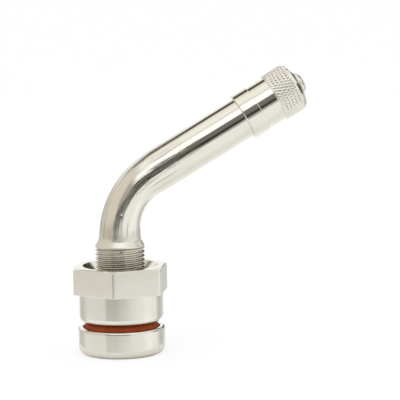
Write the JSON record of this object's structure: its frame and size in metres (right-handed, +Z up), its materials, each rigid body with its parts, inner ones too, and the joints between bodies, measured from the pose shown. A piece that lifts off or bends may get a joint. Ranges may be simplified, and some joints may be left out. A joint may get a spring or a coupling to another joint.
{
  "type": "tyre valve",
  "caption": "Bent clamp-in tyre valve: round base with sealing ring, threaded shank, collar nut, tube at sixty degrees, knurled screw cap and spring-loaded valve core.",
  "frame": {"origin": "middle of the flat underside of the base, on the shank's axis", "axes": "+Z up the shank, the bent arm rises towards +X in the XZ plane, +Y to its left seen from the base"},
  "size_m": [0.0465, 0.019, 0.0548],
  "materials": {
    "nickel_plate": "bright nickel plating on brass",
    "nickel_satin": "satin nickel plating on brass",
    "red_rubber": "rust-red moulded rubber",
    "black_rubber": "black rubber",
    "brass": "bare turned brass",
    "spring_steel": "drawn spring wire"
  },
  "bodies": {
    "valve_body": {"valve_stem": "nickel_plate", "o_ring": "red_rubber", "core_plug": "brass", "core_barrel": "brass", "core_packing": "red_rubber", "core_spring": "spring_steel"},
    "clamp_nut": {"collar_nut": "nickel_satin"},
    "cap_seal": {"cap_swivel": "nickel_plate", "cap_washer": "black_rubber"},
    "cap": {"cap_shell": "nickel_plate"},
    "pin": {"core_pin": "brass", "core_cup": "brass", "core_cup_washer": "black_rubber"}
  },
  "joints": [
    {"name": "nut_travel", "type": "slide", "parent": "valve_body", "child": "clamp_nut", "axis": [0, 0, 1], "range_m": [0, 0.009]},
    {"name": "cap_lift", "type": "slide", "parent": "valve_body", "child": "cap_seal", "axis": [0.866, 0, 0.5], "range_m": [0, 0.01112]},
    {"name": "cap_turn", "type": "hinge", "parent": "cap_seal", "child": "cap", "pos_m": [0, 0, 0.0309], "axis": [0.866, 0, 0.5], "range_deg": [0, 5041]},
    {"name": "pin_press", "type": "slide", "parent": "valve_body", "child": "pin", "axis": [-0.866, 0, -0.5], "range_m": [0, 0.0012], "stiffness_N_per_m": 400, "springref_m": -0.002, "deforming": ["core_spring"]}
  ],
  "couplings": [
    {"joint": "cap_turn", "follows": "cap_lift", "rad_per_m": 7913.3}
  ]
}
